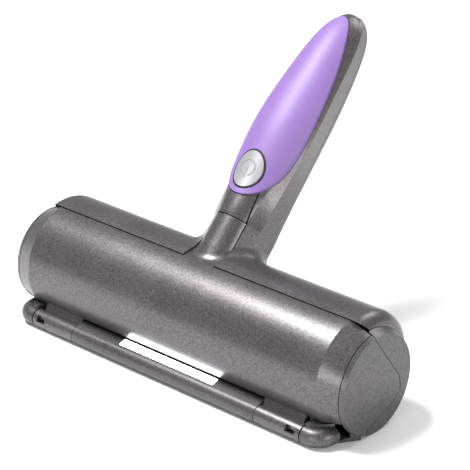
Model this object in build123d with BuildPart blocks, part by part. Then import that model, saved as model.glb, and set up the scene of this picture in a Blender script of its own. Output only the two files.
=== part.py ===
"""Battery-driven pet-hair lint roller, as separate pieces.

Frame: millimetres, +X along the head, +Y to the back, +Z up. The origin is on
the surface, in the middle of the flat plate in front of the roller. Pieces are
drawn with the head's axis over Y = 0, and finish() moves them back by HEAD_Y.
The handle leans back 45 degrees, and its pieces use t, the distance along the
handle from the head's axis, and n, the distance towards the handle's front.
"""
import os
from math import acos, atan2, cos, degrees, hypot, pi, radians, sin, sqrt, tan

from build123d import *

os.makedirs("parts", exist_ok=True)

# ---- driving dimensions -------------------------------------------------
WALL = 2.0            # moulded wall
SEAM = 0.35           # gap at a seam between two mouldings
RUN = 0.05            # radial clearance of a running fit
AXIS_H = 25.5         # head axis above the surface
HEAD_Y = 17.5         # head axis behind the frame's origin
DRUM_R = 27.0         # front drum
DRUM_HALF = 87.4      # half length of the round drum, where the taper starts
HEAD_HALF = 99.5      # half width over the end plates
END_R, END_Y, END_Z = 23.3, 0.4, -2.1      # end plate's circle, from the axis
REAR_R, REAR_Y, REAR_Z = 26.5, 3.0, 1.8    # rear shell's circle
REAR_HALF = 95.0      # half width of the rear shell
REAR_FOOT = 1.5       # the rear shell's lower edge, above the axis
REAR_ROUND = 6.0      # rounding of the rear shell's ends
SEAM_T = 16.1         # head seam, along the handle
STEM_HALF = 9.0       # half width of the door's stem
STEM_END = 41.3       # cross line where the stem ends
ROOT_R = 6.6          # concave rounding where the neck meets the head
DOOR_EDGE = 213.5     # the door's lower edge, degrees round the drum
HINGE_Y, HINGE_Z = -26.7, -21.2            # hinge axis, from the head axis
BEAD_R = 4.3          # lip strip and hinge knuckles
KNUCKLE = (55.8, 82.0)                     # hinge knuckle, from and to
PIN_R = 1.2           # hinge pin
ROLLER_Y, ROLLER_Z = 2.5, -8.5             # roller axis, from the head axis
ROLLER_R = 16.5       # over the pile
PILE = 2.5            # depth of the pile
CORE_R = ROLLER_R - PILE                   # roller core
ROLLER_HALF = 78.5
AXLE_R = 2.0
BULK_IN, BULK_OUT = 80.5, 82.5             # end walls of the roller bay
MOTOR_Y, MOTOR_Z = 8.0, 15.8               # motor axis, from the head axis
MOTOR_R = 6.0
MOTOR_LONG = 24.0
SHAFT_R = 1.0
MODULE = 0.5
PINION_T, IDLER_T, ROLLER_T = 12, 30, 40   # teeth
GEAR_FROM, GEAR_LONG = 84.0, 4.0
BACKLASH = 0.1
COVER_R = 23.2        # gear cover
CELL_R, CELL_LONG = 7.1, 50.5              # AA cells
CELL_T, CELL_N = 38.5, 4.6                 # first cell's foot, and its height
GRIP_SKIN = 2.4       # soft grip with its proud edge
GRIP_PROUD = 0.8
GRIP_FROM, GRIP_TO = 52.0, 150.3           # grip, along the handle
GRIP_HALF, GRIP_WIDE = 15.9, 86.0          # its half width, and where it's widest
FOOT_FULL, TIP_FULL = 1.1, 0.45            # roundness of its two ends
POWER_T = 64.0        # power button's centre
POWER_W, POWER_L = 7.4, 8.8                # its half width and half length
POWER_TRAVEL = 0.8
RELEASE_TRAVEL = 1.5
LENS_HALF = 28.5      # light bar
WINDOW_X = 76.6       # knuckle's window
CORNER_H = 9.9        # top of the strip's corner, just below the door's edge
CORNER_IN = 4.3       # the strip's corner stands this far inside the end plate

# Handle sections: t, edge half width and height, ridge half width and height,
# crown, lower half width, back, lower corner radius.
HANDLE = [
    (41.0, 9.0, 15.0, 14.0, 9.7, 20.0, 13.8, -10.0, 7.0),
    (55.3, 11.0, 15.4, 15.0, 10.2, 20.6, 14.0, -8.5, 7.0),
    (70.6, 13.8, 15.0, 16.2, 11.0, 21.8, 14.2, -7.6, 7.0),
    (89.8, 15.6, 14.0, 17.0, 11.6, 22.6, 14.2, -7.0, 7.0),
    (108.9, 14.6, 13.2, 16.0, 11.2, 21.0, 13.6, -6.4, 6.5),
    (126.1, 13.0, 11.6, 14.4, 10.2, 18.8, 12.4, -5.6, 6.0),
    (140.4, 10.8, 10.0, 12.0, 8.8, 16.2, 10.6, -4.4, 5.5),
    (149.0, 7.6, 8.8, 8.8, 7.8, 13.0, 8.0, -2.4, 4.5),
    (153.8, 3.5, 6.6, 4.6, 6.0, 9.0, 4.2, 1.5, 2.2),
]

# ---- planes -------------------------------------------------------------
LEAN = sqrt(0.5)      # sine and cosine of the handle's 45 degrees


def across(x):
    """Plane across the head at x; its own x is Y and its own y is Z."""
    return Plane(origin=(x, 0, AXIS_H), x_dir=(0, 1, 0), z_dir=(1, 0, 0))


def handle_plane(t):
    """Plane across the handle at t; its own y points to the front."""
    foot = (0, t * LEAN, AXIS_H + t * LEAN)
    return Plane(origin=foot, x_dir=(-1, 0, 0), z_dir=(0, LEAN, LEAN))


def front_plane(n):
    """Plane facing the handle's front at n; its own y is t."""
    foot = (0, -n * LEAN, AXIS_H + n * LEAN)
    return Plane(origin=foot, x_dir=(1, 0, 0), z_dir=(0, -LEAN, LEAN))


def finish(builder, name):
    """Sets a finished piece in the frame, labels it and writes it."""
    piece = builder.part.moved(Location((0, HEAD_Y, 0)))
    piece.label = name
    export_step(piece, f"parts/{name}.step")


# ---- profiles -----------------------------------------------------------
def handle_section(station, grow, t=None):
    """One closed section of the handle, larger all round by grow."""
    at, edge, edge_n, ridge, ridge_n, crown, low, back, corner = station
    edge, edge_n = edge + 0.7 * grow, edge_n + 0.75 * grow
    ridge, crown, low, back = ridge + grow, crown + grow, low + grow, back - grow
    corner = max(corner + grow, 0.8)
    cut = corner * (1 - LEAN)
    with BuildSketch(handle_plane(at if t is None else t)) as section:
        with BuildLine():
            ThreePointArc((-edge, edge_n), (0, crown), (edge, edge_n))
            Line((edge, edge_n), (ridge, ridge_n))
            Line((ridge, ridge_n), (low, back + corner))
            ThreePointArc((low, back + corner), (low - cut, back + cut),
                          (low - corner, back))
            Line((low - corner, back), (corner - low, back))
            ThreePointArc((corner - low, back), (cut - low, back + cut),
                          (-low, back + corner))
            Line((-low, back + corner), (-ridge, ridge_n))
            Line((-ridge, ridge_n), (-edge, edge_n))
        make_face()
    return section.sketch


def handle_body(grow):
    """The handle above the cross line, larger all round by grow."""
    last = HANDLE[-1]
    with BuildPart() as body:
        sections = [handle_section(station, grow) for station in HANDLE[:-1]]
        sections.append(handle_section(last, max(grow, -1.2), last[0] + grow))
        loft(sections=sections)
    return body.part


def neck_body(grow, foot=3.0):
    """The straight neck from inside the head up to the first section."""
    with BuildPart() as body:
        add(handle_section(HANDLE[0], grow, foot))
        extrude(amount=HANDLE[0][0] - foot, dir=(0, LEAN, LEAN))
    return body.part


def drum_body(inset, neck=None):
    """The front drum with its tapered ends, smaller all round by inset."""
    with BuildPart() as taper:
        with BuildSketch(across(DRUM_HALF)) as wide:
            Circle(DRUM_R - inset)
        with BuildSketch(across(HEAD_HALF - inset)) as narrow:
            with Locations((END_Y, END_Z)):
                Circle(END_R - inset)
        loft(sections=[wide.sketch, narrow.sketch])
    with BuildPart() as body:
        with BuildSketch(across(-DRUM_HALF)):
            Circle(DRUM_R - inset)
        extrude(amount=2 * DRUM_HALF)
        if neck:
            add(neck)
            fillet(root_edges(body, 0, 0, DRUM_R - inset), ROOT_R + inset)
        add(taper.part)
        add(mirror(taper.part, about=Plane.YZ, mode=Mode.PRIVATE))
        with BuildSketch(Plane.XY.offset(inset)):
            Rectangle(3 * HEAD_HALF, 4 * DRUM_R)
        extrude(amount=-2 * DRUM_R, mode=Mode.SUBTRACT)
    return body.part


def rear_body(inset, ends, neck=None):
    """The rear shell's round body, smaller all round by inset."""
    with BuildPart() as body:
        with BuildSketch(across(-REAR_HALF + inset)):
            with Locations((REAR_Y, REAR_Z)):
                Circle(REAR_R - inset)
        extrude(amount=2 * (REAR_HALF - inset))
        if ends:
            fillet(body.edges().filter_by(GeomType.CIRCLE), ends)
        if neck:
            add(neck)
            fillet(root_edges(body, REAR_Y, REAR_Z, REAR_R - inset), ROOT_R + inset)
    return body.part


def root_edges(body, radius_y, radius_z, reach):
    """Edges where the neck's faces meet the head's round body."""
    return [
        edge for edge in body.edges()
        if abs(hypot(edge.center().Y - radius_y,
                     edge.center().Z - AXIS_H - radius_z) - reach) < 3
        and abs(edge.center().X) < 20
    ]


def prism(plane, points, amount, corners=None, radius=0.0):
    """A straight prism on a closed outline, with some corners rounded."""
    with BuildPart() as body:
        with BuildSketch(plane) as outline:
            with BuildLine():
                Polyline(*points, close=True)
            make_face()
            if corners:
                near = [v for v in outline.vertices()
                        if any(abs(plane.to_local_coords(Vector(*v)).X - c[0]) < 0.01
                               and abs(plane.to_local_coords(Vector(*v)).Y - c[1])
                               < 0.01 for c in corners)]
                fillet(near, radius)
        extrude(amount=amount, dir=plane.z_dir)
    return body.part


def leaf(n, grow, height):
    """The grip's outline seen from the front, as a prism."""
    foot, waist, tip = GRIP_FROM - grow, GRIP_HALF + grow, GRIP_TO + grow
    with BuildPart() as body:
        with BuildSketch(front_plane(n)):
            with BuildLine():
                Spline((0, foot), (waist, GRIP_WIDE), (0, tip),
                       tangents=((1, 0), (0, 1), (-1, 0)),
                       tangent_scalars=(FOOT_FULL, 1.0, TIP_FULL))
                Spline((0, tip), (-waist, GRIP_WIDE), (0, foot),
                       tangents=((-1, 0), (0, -1), (1, 0)),
                       tangent_scalars=(TIP_FULL, 1.0, FOOT_FULL))
            make_face()
        extrude(amount=height, dir=front_plane(n).z_dir)
    return body.part


def gear(teeth, bore, phase, centre):
    """A spur gear with involute flanks; one tooth points at phase radians."""
    pitch_r = MODULE * teeth / 2
    pressure = radians(20)
    base_r = pitch_r * cos(pressure)
    tip_r, root_r = pitch_r + MODULE, pitch_r - 1.25 * MODULE
    flat = (MODULE * pi / 2 - BACKLASH) / (2 * pitch_r)
    roll = tan(pressure) - pressure

    def flank(radius):
        """Half the tooth's angle at a radius."""
        if radius <= base_r:
            return flat + roll
        lean = acos(base_r / radius)
        return flat + roll - (tan(lean) - lean)

    radii = [root_r] + [max(base_r, root_r) + (tip_r - max(base_r, root_r)) * k / 3
                        for k in range(4)]
    points = []
    for tooth in range(teeth):
        middle = phase + 2 * pi * tooth / teeth
        for side in (-1, 1):
            for radius in (radii if side < 0 else reversed(radii)):
                turn = middle + side * flank(radius)
                points.append((radius * cos(turn), radius * sin(turn)))
    with BuildPart() as body:
        with BuildSketch(across(GEAR_FROM)):
            with Locations(centre):
                with BuildLine():
                    Polyline(*[(x + centre[0], y + centre[1]) for x, y in points],
                             close=True)
            make_face()
            with Locations(centre):
                Circle(bore, mode=Mode.SUBTRACT)
        extrude(amount=GEAR_LONG, dir=(1, 0, 0))
    return body


def rod(x_from, x_to, radius, centre, hole=0.0):
    """A round bar or tube along X."""
    with BuildPart() as body:
        with BuildSketch(across(x_from)):
            with Locations(centre):
                Circle(radius)
                if hole:
                    Circle(hole, mode=Mode.SUBTRACT)
        extrude(amount=x_to - x_from)
    return body.part


# ---- shared shapes ------------------------------------------------------
drum_skin = drum_body(0, neck_body(0))
drum_core = drum_body(WALL, neck_body(-WALL))
rear_skin = rear_body(0, REAR_ROUND, neck_body(0))
rear_core = rear_body(WALL, REAR_ROUND - WALL, neck_body(-WALL))
handle_skin = handle_body(0)
handle_core = handle_body(-WALL)
far = 3 * DRUM_R
door_angle = radians(DOOR_EDGE)

# The door covers the drum in front of the head seam, down to its lower edge.
seam_n = sqrt(DRUM_R ** 2 - SEAM_T ** 2)


def along(t, n):
    """A point of the handle's side view, as Y and Z from the head axis."""
    return ((t - n) * LEAN, (t + n) * LEAN)


def door_head_outline(gap):
    """The head's part of the door, in Y and Z, smaller by gap."""
    edge = (cos(door_angle), sin(door_angle))
    return [
        along(SEAM_T - gap, far), along(SEAM_T - gap, seam_n - 1.5),
        along(SEAM_T - 3.5 - gap, seam_n - 7), (0, 0),
        (edge[0] * 20, edge[1] * 20 + gap), (edge[0] * far, edge[1] * far + gap),
        (-far, edge[1] * far + gap), (-far, far),
    ]


def stem_outline(gap, end):
    """The stem seen from the front: it widens into the head seam."""
    half = STEM_HALF - gap
    foot = SEAM_T - gap
    return [(30, foot), (half, foot), (half, end), (-half, end), (-half, foot),
            (-30, foot), (-30, foot - 4), (30, foot - 4)]


def stem_zone(gap, end):
    """Everything above the stem, with its corners rounded into the seam."""
    half = STEM_HALF - gap
    foot = SEAM_T - gap
    return prism(front_plane(11.5), stem_outline(gap, end), 30,
                 corners=[(half, foot), (-half, foot)], radius=9 + gap)


# ---- front door ---------------------------------------------------------
door_half = HEAD_HALF - WALL - SEAM
web_top = (cos(door_angle) * (DRUM_R - WALL / 2), sin(door_angle) * (DRUM_R - WALL / 2))
with BuildPart() as door_zone:
    add(prism(across(-door_half), door_head_outline(SEAM / 2), 2 * door_half))
    add(stem_zone(SEAM / 2, STEM_END - SEAM / 2))
with BuildPart() as front_door:
    add(drum_skin)
    add(drum_core, mode=Mode.SUBTRACT)
    add(door_zone.part, mode=Mode.INTERSECT)
    for side in (-1, 1):
        low, high = (side * (KNUCKLE[0] + SEAM), side * (KNUCKLE[1] - SEAM))
        with BuildSketch(across(side * (BULK_IN - 1))):
            with BuildLine():
                Polyline((HINGE_Y, HINGE_Z), (HINGE_Y + 3.6, HINGE_Z + 1.6),
                         (web_top[0] + 2.2, web_top[1] + 0.6),
                         (web_top[0] + 1.0, web_top[1] + 1.6),
                         (web_top[0] - 0.6, web_top[1] + 0.3), close=True)
            make_face()
        extrude(amount=BULK_IN - 1 - abs(low), dir=(-side, 0, 0))
        with BuildSketch(across(low)):
            with Locations((HINGE_Y, HINGE_Z)):
                Circle(BEAD_R)
        extrude(amount=abs(high - low), dir=(side, 0, 0))
        with BuildSketch(across(low)):
            with Locations((HINGE_Y, HINGE_Z)):
                Circle(PIN_R)
        extrude(amount=abs(high - low), dir=(side, 0, 0), mode=Mode.SUBTRACT)
        # window in the knuckle's front
        with BuildSketch(Plane(origin=(side * WINDOW_X, HINGE_Y, AXIS_H + HINGE_Z),
                               x_dir=(1, 0, 0), z_dir=(0, -0.94, 0.34))):
            Rectangle(5.4, 2.4)
            with Locations((-1.5, 0.8)):
                Rectangle(2.4, 2.4)
        extrude(amount=BEAD_R + 1, mode=Mode.SUBTRACT)
finish(front_door, "front_door")

# ---- rear shell with the back of the handle -----------------------------
with BuildPart() as rear_shell:
    add(rear_skin)
    add(handle_skin)
    add(rear_core, mode=Mode.SUBTRACT)
    add(handle_core, mode=Mode.SUBTRACT)
    # in front of the head seam, and below the lower edge
    front_and_below = [
        along(SEAM_T + SEAM / 2, far), along(SEAM_T + SEAM / 2, 14), (7, 5),
        (12, REAR_FOOT), (far, REAR_FOOT), (far, -far), (-far, -far), (-far, far),
    ]
    add(prism(across(-REAR_HALF - 1), front_and_below, 2 * REAR_HALF + 2),
        mode=Mode.SUBTRACT)
    add(stem_zone(-SEAM / 2, GRIP_FROM + 8), mode=Mode.SUBTRACT)
    add(leaf(9.0, 0.25, 30), mode=Mode.SUBTRACT)
    # opening of the battery door
    with BuildSketch(front_plane(-12)):
        with Locations((0, CELL_T + CELL_LONG)):
            RectangleRounded(19.6, 2 * CELL_LONG + 0.6, 4)
    extrude(amount=8.5, mode=Mode.SUBTRACT)
finish(rear_shell, "rear_shell")

# ---- base body ----------------------------------------------------------
def light_plane(height):
    """Plane of the light bar's face, raised by height along its normal."""
    face = Plane(origin=(0, -24.9, AXIS_H - 16.3), x_dir=(1, 0, 0),
                 z_dir=(0, -0.33, 0.944))
    return face.offset(height)


FLOOR = -AXIS_H
LIP_BACK = -22.0      # back of the front lip, clear of the knuckles
PLATE = 1.8           # bottom plate
CHUTE_R = ROLLER_R + 0.8                   # partition round the roller
PARTING = [(-1.6, 20.2), (10.5, 3.6), (15.2, -2.6), (16.6, -7.0), (16.8, -11.0),
           (10.9, -15.6), (5.3, -17.6), (-0.5, -19.9), (-5.7, -22.1), (-8.0, -30.0)]
PIN_GRIP = 6.0        # hinge pin's length in the strip and in the end cap
hole_end = KNUCKLE[1] + PIN_GRIP
foot_y = sqrt(DRUM_R ** 2 - AXIS_H ** 2)
bay = 2 * BULK_OUT


def screws(sink):
    """Countersunk screws in the bottom, their heads sunk by sink."""
    with BuildPart() as body:
        for x in (-90.5, -62.0, 62.0, 90.5):
            with BuildSketch(Plane.XY.offset(sink)):
                with Locations((x, -15.0)):
                    Circle(2.4)
            with BuildSketch(Plane.XY.offset(1.5)):
                with Locations((x, -15.0)):
                    Circle(1.3)
            loft()
            with BuildSketch(Plane.XY.offset(1.5)):
                with Locations((x, -15.0)):
                    Circle(1.3)
            extrude(amount=2.2)
    return body.part


with BuildPart() as lower_wall:
    add(drum_body(0))
    add(drum_body(WALL), mode=Mode.SUBTRACT)
    low = REAR_FOOT - SEAM
    add(prism(across(-BULK_OUT),
              [(12, low), (far, low), (far, -far), (20 * cos(0.87), -20 * sin(0.87)),
               (0, 0)], bay), mode=Mode.INTERSECT)

with BuildPart() as end_wall:
    add(drum_body(0))
    add(drum_body(WALL), mode=Mode.SUBTRACT)
    behind = [(y + SEAM / 2, z) for y, z in PARTING]
    add(prism(across(BULK_OUT), behind + [(far, -far), (far, far), (0.5, far)],
              HEAD_HALF - BULK_OUT), mode=Mode.INTERSECT)
    add(prism(across(0), [(-far, REAR_FOOT - SEAM), (far, REAR_FOOT - SEAM),
                          (far, far), (-far, far)], REAR_HALF + SEAM),
        mode=Mode.SUBTRACT)

with BuildPart() as bulkhead:
    with BuildSketch(across(BULK_IN)):
        Circle(DRUM_R - WALL - 0.5)
        with BuildLine():
            Polyline((-19, -11), (LIP_BACK + 0.6, -16.5), (LIP_BACK, -20),
                     (LIP_BACK, FLOOR), (foot_y, FLOOR), (19, -16.5), (24.6, -8),
                     (25.6, 0), (22, REAR_FOOT - SEAM), close=True)
        make_face()
        with Locations((ROLLER_Y, ROLLER_Z)):
            Circle(4.0, mode=Mode.SUBTRACT)
    extrude(amount=BULK_OUT - BULK_IN, dir=(1, 0, 0))

with BuildPart() as base_body:
    add(lower_wall.part)
    for half in (end_wall.part, bulkhead.part):
        add(half)
        add(mirror(half, about=Plane.YZ, mode=Mode.PRIVATE))
    # bottom plate in front of the roller, with a rib behind the knuckles
    with BuildSketch(across(-BULK_OUT)):
        with BuildLine():
            Polyline((LIP_BACK, FLOOR), (-8.5, FLOOR), (-8.5, FLOOR + PLATE - 0.6),
                     (-9.5, FLOOR + PLATE), (LIP_BACK + 2, FLOOR + PLATE),
                     (LIP_BACK + 1.6, -21), (LIP_BACK, -21.5), close=True)
        make_face()
    extrude(amount=bay, dir=(1, 0, 0))
    # centre segment of the lip strip
    with BuildSketch(across(-KNUCKLE[0])):
        with Locations((HINGE_Y, HINGE_Z)):
            Circle(BEAD_R)
        with BuildLine():
            Polyline((HINGE_Y, FLOOR), (LIP_BACK + 0.2, FLOOR),
                     (LIP_BACK, -15.8), (-23.4, -15.9), (HINGE_Y - 1.2, -17.1),
                     close=True)
        make_face()
    extrude(amount=2 * KNUCKLE[0], dir=(1, 0, 0))
    # partition between the roller and the motor
    with BuildSketch(across(-BULK_IN)):
        with Locations((ROLLER_Y, ROLLER_Z)):
            Circle(CHUTE_R + 1.2)
            Circle(CHUTE_R, mode=Mode.SUBTRACT)
        with BuildLine():
            Polyline((-2.4, 8), (60, 30), (60, ROLLER_Z + 4), (ROLLER_Y + 8, ROLLER_Z + 4),
                     (ROLLER_Y, ROLLER_Z), close=True)
        make_face(mode=Mode.INTERSECT)
        with BuildLine():
            Polyline((19.5, ROLLER_Z + 4), (25.5, ROLLER_Z + 4), (25.5, ROLLER_Z + 5.4),
                     (19.5, ROLLER_Z + 5.4), close=True)
        make_face()
        with BuildLine():
            Polyline((-5.2, 7.2), (-1.6, 8.6), (-3.6, 10.2), (-3.8, 23.6), (-5.2, 23.6),
                     close=True)
        make_face()
    extrude(amount=2 * BULK_IN, dir=(1, 0, 0))
    # pocket of the light bar
    with BuildSketch(light_plane(1.5)):
        Rectangle(2 * LENS_HALF + 0.4, 4.0)
    extrude(amount=-5.2, mode=Mode.SUBTRACT)
    for x in (-hole_end, KNUCKLE[0] - PIN_GRIP):
        add(rod(x, x + hole_end - KNUCKLE[0] + PIN_GRIP, PIN_R - RUN,
                (HINGE_Y, HINGE_Z)), mode=Mode.SUBTRACT)
    add(rod(BULK_IN, BULK_OUT, SHAFT_R + 0.2, (MOTOR_Y, MOTOR_Z)), mode=Mode.SUBTRACT)
    add(screws(0.0), mode=Mode.SUBTRACT)
finish(base_body, "base_body")

# ---- end caps, with the corners of the lip strip ------------------------
turn_r = 6.0
turn_x = HEAD_HALF - CORNER_IN - BEAD_R - turn_r
for side, name in ((1, "end_cap_right"), (-1, "end_cap_left")):
    with BuildPart() as bead:
        with BuildLine(Plane.XY.offset(AXIS_H + HINGE_Z)):
            Line((KNUCKLE[1] + SEAM, HINGE_Y), (turn_x, HINGE_Y))
            RadiusArc((turn_x, HINGE_Y), (turn_x + turn_r, HINGE_Y + turn_r), -turn_r)
            Line((turn_x + turn_r, HINGE_Y + turn_r), (turn_x + turn_r, -11))
        with BuildSketch(across(KNUCKLE[1] + SEAM)):
            with Locations((HINGE_Y, HINGE_Z)):
                Circle(BEAD_R)
        sweep()
    with BuildPart() as cap:
        add(drum_body(0))
        front = [(y - SEAM / 2, z) for y, z in PARTING]
        add(prism(across(HEAD_HALF - WALL),
                  front + [(-far, -30), (-far, far), (-0.9, far)], WALL + 1),
            mode=Mode.INTERSECT)
        add(bead.part)
        # floor of the corner, back to the roller bay's end wall
        with BuildSketch(Plane.XY):
            with BuildLine():
                Polyline((KNUCKLE[1] + SEAM, HINGE_Y), (turn_x, HINGE_Y),
                         (turn_x + turn_r, HINGE_Y + turn_r), (HEAD_HALF - 0.6, -9),
                         (BULK_OUT + SEAM, -9), (BULK_OUT + SEAM, LIP_BACK),
                         (KNUCKLE[1] + SEAM, LIP_BACK), close=True)
            make_face()
        extrude(amount=CORNER_H)
        with BuildSketch(Plane.XY.offset(PLATE)):
            with BuildLine():
                Polyline((BULK_OUT + 2, LIP_BACK + 3), (HEAD_HALF - WALL - 1.5, LIP_BACK + 3),
                         (HEAD_HALF - WALL - 1.5, -8), (BULK_OUT + 2, -8), close=True)
            make_face()
        extrude(amount=12, mode=Mode.SUBTRACT)
        add(rod(BULK_OUT, GEAR_FROM + GEAR_LONG + 2.6, COVER_R + 0.4, (0.8, 0)),
            mode=Mode.SUBTRACT)
        add(rod(KNUCKLE[1], hole_end, PIN_R - RUN, (HINGE_Y, HINGE_Z)),
            mode=Mode.SUBTRACT)
        add(screws(0.0), mode=Mode.SUBTRACT)
        if side < 0:
            mirror(about=Plane.YZ, mode=Mode.REPLACE)
    finish(cap, name)

# ---- light bar ----------------------------------------------------------
with BuildPart() as led_lens:
    with BuildSketch(light_plane(-1.2)):
        Rectangle(2 * LENS_HALF, 3.8)
    extrude(amount=1.6)
    fillet(led_lens.faces().sort_by(Axis.Z)[-1].edges(), 0.6)
finish(led_lens, "led_lens")

with BuildPart() as led_board:
    with BuildSketch(light_plane(-3.7)):
        Rectangle(2 * LENS_HALF, 3.6)
    extrude(amount=1.0)
finish(led_board, "led_board")

with BuildPart() as led_chips:
    with BuildSketch(light_plane(-2.7)):
        with GridLocations(8.8, 1, 6, 1):
            Rectangle(2.8, 2.4)
    extrude(amount=0.9)
finish(led_chips, "led_chips")

# ---- hinge pins ---------------------------------------------------------
with BuildPart() as hinge_pins:
    pin = rod(KNUCKLE[0] - PIN_GRIP, hole_end, PIN_R - RUN, (HINGE_Y, HINGE_Z))
    add(pin)
    add(mirror(pin, about=Plane.YZ, mode=Mode.PRIVATE))
finish(hinge_pins, "hinge_pins")

# ---- roller -------------------------------------------------------------
roller_at = (ROLLER_Y, ROLLER_Z)
with BuildPart() as roller_core:
    add(rod(-ROLLER_HALF, ROLLER_HALF, CORE_R, roller_at, AXLE_R))
    for low, high in ((-ROLLER_HALF + 3, -1.5), (1.5, ROLLER_HALF - 3)):
        add(rod(low, high, CORE_R - WALL, roller_at, AXLE_R + 2), mode=Mode.SUBTRACT)
finish(roller_core, "roller_core")

with BuildPart() as roller_fabric:
    add(rod(-ROLLER_HALF, ROLLER_HALF, ROLLER_R, roller_at, CORE_R))
finish(roller_fabric, "roller_fabric")

with BuildPart() as roller_axle:
    add(rod(-BULK_OUT - 1.6, GEAR_FROM + GEAR_LONG + 0.8, AXLE_R, roller_at))
    chamfer(roller_axle.edges().filter_by(GeomType.CIRCLE), 0.4)
finish(roller_axle, "roller_axle")

for side, name in ((1, "bushing_right"), (-1, "bushing_left")):
    with BuildPart() as bushing:
        add(rod(BULK_IN, BULK_OUT, 4.0, roller_at, AXLE_R + RUN))
        add(rod(BULK_IN - 0.8, BULK_IN, 5.5, roller_at, AXLE_R + RUN))
        if side < 0:
            mirror(about=Plane.YZ, mode=Mode.REPLACE)
    finish(bushing, name)

# ---- gear train ---------------------------------------------------------
near = MODULE * (PINION_T + IDLER_T) / 2
wide = MODULE * (IDLER_T + ROLLER_T) / 2
span_y, span_z = MOTOR_Y - ROLLER_Y, MOTOR_Z - ROLLER_Z
span = hypot(span_y, span_z)
step = (wide ** 2 - near ** 2 + span ** 2) / (2 * span)
rise = sqrt(wide ** 2 - step ** 2)
IDLER_Y = ROLLER_Y + (step * span_y + rise * span_z) / span
IDLER_Z = ROLLER_Z + (step * span_z - rise * span_y) / span


def mesh_phase(teeth, centre, other_teeth, other_centre, other_phase):
    """Tooth phase that puts a gap where the other gear's tooth comes in."""
    line = atan2(centre[1] - other_centre[1], centre[0] - other_centre[0])
    other_part = (line - other_phase) * other_teeth / (2 * pi)
    part = 0.5 - other_part
    return line + pi - part * 2 * pi / teeth


motor_at, idler_at = (MOTOR_Y, MOTOR_Z), (IDLER_Y, IDLER_Z)
idler_phase = mesh_phase(IDLER_T, idler_at, ROLLER_T, roller_at, 0.0)
pinion_phase = mesh_phase(PINION_T, motor_at, IDLER_T, idler_at, idler_phase)
finish(gear(ROLLER_T, AXLE_R, 0.0, roller_at), "roller_gear")
finish(gear(IDLER_T, 1.5 + RUN, idler_phase, idler_at), "idler_gear")
finish(gear(PINION_T, SHAFT_R, pinion_phase, motor_at), "motor_pinion")

with BuildPart() as idler_pin:
    add(rod(BULK_OUT, GEAR_FROM + GEAR_LONG + 0.6, 1.5, idler_at))
    add(rod(BULK_OUT, GEAR_FROM - 0.3, 2.6, idler_at))
finish(idler_pin, "idler_pin")

with BuildPart() as gear_cover:
    add(rod(BULK_OUT, GEAR_FROM + GEAR_LONG + 2.2, COVER_R, (0.8, 0)))
    add(rod(BULK_OUT, GEAR_FROM + GEAR_LONG + 1.0, COVER_R - 1.2, (0.8, 0)),
        mode=Mode.SUBTRACT)
    fillet(gear_cover.faces().sort_by(Axis.X)[-1].edges(), 0.9)
finish(gear_cover, "gear_cover")

# ---- motor --------------------------------------------------------------
motor_back = BULK_IN - MOTOR_LONG
with BuildPart() as motor:
    add(rod(motor_back, BULK_IN, MOTOR_R, motor_at, SHAFT_R + 0.3))
    for side in (-1, 1):
        with BuildSketch(across(motor_back)):
            with Locations((MOTOR_Y + side * (MOTOR_R + 1), MOTOR_Z)):
                Rectangle(4, 2 * MOTOR_R)
        extrude(amount=MOTOR_LONG - 9, dir=(1, 0, 0), mode=Mode.SUBTRACT)
finish(motor, "motor")

with BuildPart() as motor_shaft:
    add(rod(motor_back + 1, GEAR_FROM + GEAR_LONG, SHAFT_R, motor_at))
finish(motor_shaft, "motor_shaft")

with BuildPart() as motor_bracket:
    add(rod(BULK_IN - 8, BULK_IN - 3, MOTOR_R + 1.2, motor_at, MOTOR_R))
    with BuildSketch(across(BULK_IN - 8)):
        with Locations((MOTOR_Y, MOTOR_Z - MOTOR_R - 1.4)):
            Rectangle(20, 6)
    extrude(amount=5, dir=(1, 0, 0), mode=Mode.SUBTRACT)
    with BuildSketch(across(BULK_IN - 8)):
        with Locations((MOTOR_Y - MOTOR_R - 2.2, MOTOR_Z - 1.0)):
            Rectangle(3.2, 2.0)
    extrude(amount=8, dir=(1, 0, 0))
finish(motor_bracket, "motor_bracket")

# ---- dust chamber -------------------------------------------------------
comb_half = BULK_IN - 2.5
teeth = 52
pitch = 2 * comb_half / teeth
comb_edge = []
for tooth in range(teeth):
    left = -comb_half + tooth * pitch
    comb_edge += [(left + 0.25 * pitch, 7.9), (left + 0.4 * pitch, 6.9),
                  (left + 0.6 * pitch, 6.9), (left + 0.75 * pitch, 7.9)]
with BuildPart() as scraper_comb:
    with BuildSketch(Plane(origin=(0, -5.3, AXIS_H), x_dir=(1, 0, 0),
                           z_dir=(0, -1, 0))):
        with BuildLine():
            Polyline((-comb_half, 16), (-comb_half, 7.9), *comb_edge,
                     (comb_half, 7.9), (comb_half, 16), close=True)
        make_face()
    extrude(amount=1.3, dir=(0, -1, 0))
finish(scraper_comb, "scraper_comb")

with BuildPart() as front_wiper:
    with BuildSketch(across(-BULK_IN + 2.5)):
        with BuildLine():
            Polyline((-12.5, FLOOR + PLATE), (-10.0, FLOOR + PLATE),
                     (-10.4, FLOOR + 5.6), (-11.2, FLOOR + 5.6), close=True)
        make_face()
    extrude(amount=2 * BULK_IN - 5, dir=(1, 0, 0))
finish(front_wiper, "front_wiper")

# ---- batteries ----------------------------------------------------------
cells = 2
with BuildPart() as battery_cells:
    for cell in range(cells):
        foot = CELL_T + cell * CELL_LONG
        with BuildSketch(handle_plane(foot)):
            with Locations((0, CELL_N)):
                Circle(CELL_R)
        extrude(amount=CELL_LONG - 1.6, dir=(0, LEAN, LEAN))
        with BuildSketch(handle_plane(foot + CELL_LONG - 1.6)):
            with Locations((0, CELL_N)):
                Circle(2.7)
        extrude(amount=1.4, dir=(0, LEAN, LEAN))
finish(battery_cells, "battery_cells")

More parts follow.
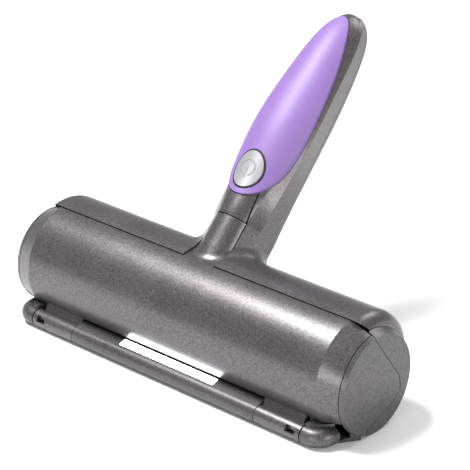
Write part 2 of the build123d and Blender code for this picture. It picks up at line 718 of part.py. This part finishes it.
with BuildPart() as contact_plates:
    for at in (CELL_T - 0.8, CELL_T + cells * CELL_LONG):
        with BuildSketch(handle_plane(at)):
            with Locations((0, CELL_N)):
                Rectangle(9, 9)
        extrude(amount=0.6, dir=(0, LEAN, LEAN))
finish(contact_plates, "contact_plates")

# ---- battery door -------------------------------------------------------
with BuildPart() as battery_door:
    with BuildSketch(front_plane(-12)):
        with Locations((0, CELL_T + CELL_LONG)):
            RectangleRounded(19.0, 2 * CELL_LONG, 3.7)
    extrude(amount=8.5)
    add(handle_skin, mode=Mode.INTERSECT)
    add(handle_core, mode=Mode.SUBTRACT)
finish(battery_door, "battery_door")

# ---- grip ---------------------------------------------------------------
def power_hole(grow, low, height):
    """Oval prism under the power button."""
    with BuildPart() as body:
        with BuildSketch(front_plane(low)):
            with Locations((0, POWER_T)):
                Ellipse(POWER_W + grow, POWER_L + grow)
        extrude(amount=height)
    return body.part


grip_top = handle_body(GRIP_PROUD)
under_grip = handle_body(GRIP_PROUD - GRIP_SKIN)
with BuildPart() as grip_cover:
    add(grip_top)
    add(under_grip, mode=Mode.SUBTRACT)
    add(leaf(9.2, 0, 30), mode=Mode.INTERSECT)
    add(power_hole(1.0, 9, 30), mode=Mode.SUBTRACT)
finish(grip_cover, "grip_cover")

release_zone = (STEM_HALF - 0.4, STEM_END + SEAM / 2)
with BuildPart() as grip_frame:
    add(handle_body(GRIP_PROUD - GRIP_SKIN - 0.05))
    add(handle_body(GRIP_PROUD - GRIP_SKIN - 1.4), mode=Mode.SUBTRACT)
    add(leaf(9.2, -0.8, 30), mode=Mode.INTERSECT)
    add(power_hole(1.2, 9, 30), mode=Mode.SUBTRACT)
    add(prism(front_plane(9), [(-9.4, 40), (9.4, 40), (9.4, 58.2), (-9.4, 58.2)], 30),
        mode=Mode.SUBTRACT)
finish(grip_frame, "grip_frame")

# ---- power button -------------------------------------------------------
with BuildPart() as button_bezel:
    add(power_hole(0.95, 16.4, 12))
    add(power_hole(0.3, 16, 14), mode=Mode.SUBTRACT)
    add(handle_body(0.4), mode=Mode.INTERSECT)
finish(button_bezel, "button_bezel")

with BuildPart() as power_sign_zone:
    with BuildSketch(front_plane(16)):
        with Locations((0, POWER_T + 0.3)):
            Circle(4.1)
            Circle(3.2, mode=Mode.SUBTRACT)
        with Locations((0, POWER_T - 3.2)):
            Rectangle(3.2, 4.4, mode=Mode.SUBTRACT)
        with Locations((0, POWER_T - 2.0)):
            SlotOverall(5.6, 1.0, rotation=90)
    extrude(amount=14)

with BuildPart() as power_sign:
    add(handle_body(1.0))
    add(handle_body(0.55), mode=Mode.SUBTRACT)
    add(power_sign_zone.part, mode=Mode.INTERSECT)
finish(power_sign, "power_sign")

with BuildPart() as engraving:
    add(power_sign_zone.part)
    add(handle_body(0.55), mode=Mode.SUBTRACT)

with BuildPart() as power_button:
    add(power_hole(0, 16.5, 14))
    add(handle_body(1.15), mode=Mode.INTERSECT)
    add(engraving.part, mode=Mode.SUBTRACT)
finish(power_button, "power_button")

with BuildPart() as switch_board:
    with BuildSketch(front_plane(12.3)):
        with Locations((0, 70.4)):
            RectangleRounded(19, 23, 2)
    extrude(amount=1.2)
finish(switch_board, "switch_board")

with BuildPart() as tact_switch:
    with BuildSketch(front_plane(13.5)):
        with Locations((0, POWER_T)):
            Rectangle(6, 6)
    extrude(amount=1.5)
    with BuildSketch(front_plane(15.0)):
        with Locations((0, POWER_T)):
            Circle(1.7)
    extrude(amount=0.6)
finish(tact_switch, "tact_switch")

# ---- release button -----------------------------------------------------
with BuildPart() as release_button:
    add(handle_skin)
    add(handle_body(-2.2), mode=Mode.SUBTRACT)
    add(prism(front_plane(12.4), [(-release_zone[0], release_zone[1]),
                                  (release_zone[0], release_zone[1]),
                                  (release_zone[0], 57.5), (-release_zone[0], 57.5)], 20),
        mode=Mode.INTERSECT)
    add(leaf(9, 0.35, 30), mode=Mode.SUBTRACT)
finish(release_button, "release_button")

with BuildPart() as release_spring:
    with BuildSketch(front_plane(12.2)):
        with Locations((0, 47.5)):
            Circle(2.2)
            Circle(1.6, mode=Mode.SUBTRACT)
    extrude(amount=12)
    add(handle_body(-2.2), mode=Mode.INTERSECT)
finish(release_spring, "release_spring")

with BuildPart() as case_screws:
    add(screws(0.0))
    for x in (-90.5, -62.0, 62.0, 90.5):
        with BuildSketch(Plane.XY):
            with Locations((x, -15.0)):
                Rectangle(2.6, 0.7)
                Rectangle(0.7, 2.6)
        extrude(amount=0.7, mode=Mode.SUBTRACT)
finish(case_screws, "case_screws")
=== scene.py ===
# %% [markdown]
# A battery-driven lint roller. Its moulded shells, buttons, gears and metal
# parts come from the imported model, so this lesson gives them their finishes.
# The pile on the roller is the one soft piece that is modelled here.

# %% Load the model
from math import pi, radians

import bmesh
import bpy
from mathutils import Matrix, Vector


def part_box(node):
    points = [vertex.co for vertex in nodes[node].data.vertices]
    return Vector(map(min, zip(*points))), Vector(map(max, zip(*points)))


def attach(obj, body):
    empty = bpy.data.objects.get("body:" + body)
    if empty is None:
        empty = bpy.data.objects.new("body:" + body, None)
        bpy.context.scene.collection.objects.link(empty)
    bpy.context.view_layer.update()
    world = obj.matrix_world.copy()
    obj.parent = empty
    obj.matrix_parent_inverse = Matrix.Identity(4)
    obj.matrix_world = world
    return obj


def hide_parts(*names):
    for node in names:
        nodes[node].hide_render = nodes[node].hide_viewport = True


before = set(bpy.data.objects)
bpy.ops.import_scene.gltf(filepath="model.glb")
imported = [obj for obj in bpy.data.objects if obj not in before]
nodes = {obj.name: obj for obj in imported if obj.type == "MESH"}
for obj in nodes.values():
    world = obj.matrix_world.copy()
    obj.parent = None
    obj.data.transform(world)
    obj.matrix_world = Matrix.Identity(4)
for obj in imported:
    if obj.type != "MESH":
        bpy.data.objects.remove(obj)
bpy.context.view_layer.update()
MM = 0.001
HEAD = Vector((0, 17.5 * MM, 25.5 * MM))      # middle of the head's axis

# %% [markdown]
# A finish is arithmetic on patterns. It could be wired by hand in the shader
# editor, but written sums are shorter, so one small class wraps a socket and
# turns + - and * into Math nodes.


# %% Sums on sockets
class Wire:
    """A shader value that can be used in sums."""

    def __init__(self, paint, socket):
        self.paint, self.socket = paint, socket

    def math(self, operation, first, second):
        return self.paint.node("ShaderNodeMath", {"operation": operation},
                               {0: first, 1: second})

    def __add__(self, other):
        return self.math("ADD", self, other)

    __radd__ = __add__

    def __mul__(self, other):
        return self.math("MULTIPLY", self, other)

    __rmul__ = __mul__

    def __sub__(self, other):
        return self.math("SUBTRACT", self, other)

    def __rsub__(self, other):
        return self.math("SUBTRACT", other, self)


class Paint:
    """One material being made, with its shader at hand."""

    def __init__(self, name):
        self.material = bpy.data.materials.new(name)
        self.material.use_nodes = True
        self.tree = self.material.node_tree
        self.shader = self.tree.nodes["Principled BSDF"]

    def node(self, kind, settings=None, values=None, out=0):
        made = self.tree.nodes.new(kind)
        for key, value in (settings or {}).items():
            setattr(made, key, value)
        for key, value in (values or {}).items():
            self.put(made.inputs[key], value)
        return Wire(self, made.outputs[out])

    def put(self, socket, value):
        if isinstance(value, Wire):
            self.tree.links.new(value.socket, socket)
        else:
            socket.default_value = value

    def place(self):
        return self.node("ShaderNodeTexCoord", out="Object")

    def noise(self, scale, detail=3.0, where=None):
        return self.node("ShaderNodeTexNoise", None,
                         {"Vector": where or self.place(), "Scale": scale,
                          "Detail": detail})

    def colour(self, factor, first, second):
        mixed = self.node("ShaderNodeMix", {"data_type": "RGBA"},
                          {"Factor": factor, "A": first, "B": second}, out="Result")
        result = mixed.socket.node.outputs[2]
        return Wire(self, result)

    def bump(self, height, strength, distance):
        return self.node("ShaderNodeBump", None,
                         {"Height": height, "Strength": strength,
                          "Distance": distance})


# %% [markdown]
# Moulded plastic has a fine spark-eroded texture, slightly uneven gloss and a
# faint drift in tone. The same recipe with other numbers gives every moulding,
# the soft grip and the bare metals.

# %% One recipe for hard finishes
def shade(colour, amount):
    return tuple(min(1.0, c * amount) for c in colour) + (1.0,)


def finish(name, colour, rough, grain=2200.0, relief=0.12, depth=0.00003,
           metal=0.0, coat=0.0, drift=0.06, rough_drift=0.10, fleck=0.0):
    paint = Paint(name)
    cloud = paint.noise(38.0)
    fine = paint.noise(grain, 2.0)
    tone = cloud * (1 - fleck) + fine * fleck
    paint.put(paint.shader.inputs["Base Color"],
              paint.colour(tone, shade(colour, 1 - drift), shade(colour, 1 + drift)))
    paint.put(paint.shader.inputs["Roughness"],
              rough + (cloud - 0.5) * rough_drift + (fine - 0.5) * 0.08)
    paint.put(paint.shader.inputs["Normal"], paint.bump(fine, relief, depth))
    paint.shader.inputs["Metallic"].default_value = metal
    paint.shader.inputs["Coat Weight"].default_value = coat
    return paint.material


# %% [markdown]
# The shells are dark grey with a metallic fleck, the grip is matt and soft, and
# the button is satin silver. Every finish inside the door or the handle is a
# guess at what such a roller usually has.

# %% The finishes
shell_grey = finish("shell_grey", (0.115, 0.108, 0.111), 0.34, grain=1100.0,
                    metal=0.7, drift=0.9, fleck=0.8)
lip_grey = finish("lip_grey", (0.09, 0.086, 0.087), 0.38, grain=1100.0,
                  metal=0.6, drift=0.9, fleck=0.8)
grip_purple = finish("grip_purple", (0.2, 0.115, 0.335), 0.5, grain=1500,
                     relief=0.25, depth=0.00006)
silver = finish("silver", (0.5, 0.5, 0.52), 0.3, metal=0.7, coat=0.1, drift=0.02)
sign_grey = finish("sign_grey", (0.24, 0.23, 0.225), 0.55)
black_plastic = finish("black_plastic", (0.012, 0.012, 0.013), 0.5)
inner_grey = finish("inner_grey", (0.06, 0.06, 0.063), 0.55)
board_green = finish("board_green", (0.02, 0.13, 0.06), 0.4, coat=0.4)
steel = finish("steel", (0.56, 0.56, 0.57), 0.28, metal=1.0, grain=3000, drift=0.03)
bronze = finish("bronze", (0.45, 0.28, 0.13), 0.4, metal=1.0)
core_white = finish("core_white", (0.74, 0.74, 0.72), 0.5)
gear_white = finish("gear_white", (0.8, 0.79, 0.74), 0.38)
cell_wrap = finish("cell_wrap", (0.03, 0.03, 0.034), 0.25, coat=0.5)
rubber_black = finish("rubber_black", (0.018, 0.018, 0.018), 0.7, relief=0.3)

# %% [markdown]
# The light bar is a frosted lens over a row of diodes. A frosted lens spreads
# their light almost evenly, so its emission has only a faint, cloudy drift.


# %% Lit lens and diodes
def lit(name, colour, strength):
    paint = Paint(name)
    cloud = paint.noise(90.0)
    paint.put(paint.shader.inputs["Emission Color"],
              paint.colour(cloud, shade(colour, 0.92), shade(colour, 1.0)))
    paint.shader.inputs["Emission Strength"].default_value = strength
    paint.put(paint.shader.inputs["Roughness"], 0.4 + (cloud - 0.5) * 0.1)
    paint.shader.inputs["Base Color"].default_value = shade(colour, 0.9)
    return paint.material


light_lens = lit("light_lens", (0.92, 0.96, 1.0), 14.0)
chip_yellow = lit("chip_yellow", (1.0, 0.93, 0.7), 3.0)

# %% [markdown]
# A carried-over piece keeps its shape and gets its finish through its material
# slot. Listing the pieces under each finish shows at once if one is left out.

# %% Give every carried-over piece its finish
finishes = {
    shell_grey: "front_door rear_shell release_button battery_door",
    lip_grey: "base_body end_cap_left end_cap_right",
    grip_purple: "grip_cover", silver: "power_button", sign_grey: "power_sign",
    black_plastic: "button_bezel scraper_comb tact_switch",
    inner_grey: "grip_frame gear_cover motor_bracket",
    light_lens: "led_lens", chip_yellow: "led_chips",
    board_green: "led_board switch_board",
    steel: "hinge_pins roller_axle idler_pin motor motor_shaft contact_plates "
           "release_spring case_screws",
    bronze: "bushing_left bushing_right motor_pinion", core_white: "roller_core",
    gear_white: "roller_gear idler_gear", cell_wrap: "battery_cells",
    rubber_black: "front_wiper",
}
dressed = set()
for material, names in finishes.items():
    for name in names.split():
        nodes[name].data.materials.clear()
        nodes[name].data.materials.append(material)
        dressed.add(name)
print("without a finish", sorted(set(nodes) - dressed))

# %% [markdown]
# The roller is covered by a short pile that lifts hair. Hair strands would be
# heavy and are not exported, so the pile is a sleeve with fine ridges in its
# mesh, and its finish adds the nap as colour and bump.

# %% Roller pile
TUFTS_ROUND, TUFTS_ALONG = 96, 150
PILE_DEPTH = 0.5 * MM
CORE_GAP = 0.05 * MM         # between the sleeve and the core
low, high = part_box("roller_fabric")
middle = (low + high) / 2
radius = (high.z - low.z) / 2
core_low, core_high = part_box("roller_core")
core_radius = (core_high.z - core_low.z) / 2
length = high.x - low.x
pile = bmesh.new()
bmesh.ops.create_cone(pile, cap_ends=False, segments=TUFTS_ROUND, radius1=radius,
                      radius2=radius, depth=length)
bmesh.ops.subdivide_edges(
    pile, edges=[e for e in pile.edges
                 if abs(e.verts[0].co.z - e.verts[1].co.z) > length / 2],
    cuts=TUFTS_ALONG, use_grid_fill=True)
turn = Matrix.Translation(middle) @ Matrix.Rotation(pi / 2, 4, "Y")
bmesh.ops.transform(pile, matrix=turn, verts=pile.verts)
pile.verts.ensure_lookup_table()
tufts = [v for v in pile.verts if v.index % 2]
for vert in tufts:
    outward = Vector((0, vert.co.y - middle.y, vert.co.z - middle.z)).normalized()
    vert.co -= outward * PILE_DEPTH
rims = bmesh.ops.extrude_edge_only(
    pile, edges=[e for e in pile.edges if e.is_boundary])["geom"]
for vert in [g for g in rims if isinstance(g, bmesh.types.BMVert)]:
    outward = Vector((0, vert.co.y - middle.y, vert.co.z - middle.z)).normalized()
    vert.co.y, vert.co.z = middle.yz + outward.yz * (core_radius + CORE_GAP)
rim_edges = [e for e in pile.edges if e.is_boundary]
bmesh.ops.bridge_loops(pile, edges=rim_edges)
bmesh.ops.recalc_face_normals(pile, faces=pile.faces)
mesh = bpy.data.meshes.new("roller_pile")
pile.to_mesh(mesh)
pile.free()
roller_pile = bpy.data.objects.new("roller_pile", mesh)
bpy.context.collection.objects.link(roller_pile)

# %% [markdown]
# The pile's red is a guess, since the roller is hidden while the door is shut.
# A fine pattern gives the nap and a broad one gives worn patches.

# %% Pile finish
PILE_DARK, PILE_LIGHT = (0.30, 0.02, 0.035, 1), (0.62, 0.09, 0.11, 1)
NAP_SHARE = 0.7              # of the nap in the colour; the patches are the rest
NAP_DEPTH = 0.3 * MM
cloth = Paint("pile_fabric")
nap = cloth.noise(900.0, 4.0)
patch = cloth.noise(60.0)
cloth.put(cloth.shader.inputs["Base Color"],
          cloth.colour(nap * NAP_SHARE + patch * (1 - NAP_SHARE), PILE_DARK,
                       PILE_LIGHT))
cloth.put(cloth.shader.inputs["Roughness"], 0.85 + (nap - 0.5) * 0.2)
cloth.put(cloth.shader.inputs["Normal"], cloth.bump(nap, 0.6, NAP_DEPTH))
mesh.materials.append(cloth.material)
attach(roller_pile, "roller")
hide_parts("roller_fabric")
print("pile faces", len(mesh.polygons))

# %% [markdown]
# The scene is a pale floor with soft square lights from above, the sides, the
# back and low in front, so the curved mouldings show long, gentle reflections.


# %% Floor
FLOOR_HALF = 3.0
FLOOR_DROP = 0.1 * MM        # keeps the floor clear of the flat underside
ground = bmesh.new()
bmesh.ops.create_grid(ground, x_segments=1, y_segments=1, size=FLOOR_HALF,
                      matrix=Matrix.Translation((0, 0, -FLOOR_DROP)))
floor_mesh = bpy.data.meshes.new("floor")
ground.to_mesh(floor_mesh)
ground.free()
floor = bpy.data.objects.new("floor", floor_mesh)
bpy.context.collection.objects.link(floor)
floor_mesh.materials.append(finish("floor_white", (0.93, 0.93, 0.93), 0.8, drift=0.0,
                                   relief=0.0))

# %% Light
world = bpy.data.worlds.new("studio")
bpy.context.scene.world = world
world.use_nodes = True
sky = world.node_tree.nodes["Background"]
sky.inputs["Color"].default_value = (1, 1, 1, 1)
sky.inputs["Strength"].default_value = 0.42


def soft_light(name, place, size, power):
    lamp = bpy.data.lights.new(name, "AREA")
    lamp.shape, lamp.size, lamp.energy = "SQUARE", size, power
    holder = bpy.data.objects.new(name, lamp)
    holder.location = Vector(place)
    holder.rotation_euler = (HEAD - holder.location).to_track_quat("-Z", "Y").to_euler()
    bpy.context.collection.objects.link(holder)


soft_light("key_light", (-0.3, -0.15, 0.9), 0.3, 15.0)
soft_light("side_light", (1.0, -0.1, 0.35), 0.3, 3.5)
soft_light("low_front_light", (0.2, -1.0, 0.25), 0.25, 2.5)
soft_light("back_light", (0.1, 0.9, 0.9), 0.6, 5.0)

# %% [markdown]
# The camera stands about a metre away, in front, to the right and above, with
# a long lens, so that the object shows little perspective.

# %% Camera
AZIMUTH, ELEVATION, AWAY = radians(41.48), radians(25.35), 1.0
ASIDE, ABOVE = 13.79 * MM, 34.33 * MM
across = Matrix.Rotation(AZIMUTH, 4, "Z") @ Matrix.Rotation(pi / 2 - ELEVATION, 4, "X")
camera = bpy.data.cameras.new("camera")
camera.sensor_width, camera.lens = 36.0, 168.3
stand = bpy.data.objects.new("camera", camera)
stand.matrix_world = (Matrix.Translation(HEAD) @ across
                      @ Matrix.Translation((ASIDE, ABOVE, AWAY)))
bpy.context.collection.objects.link(stand)
bpy.context.scene.camera = stand
bpy.context.scene.view_settings.view_transform = "Standard"
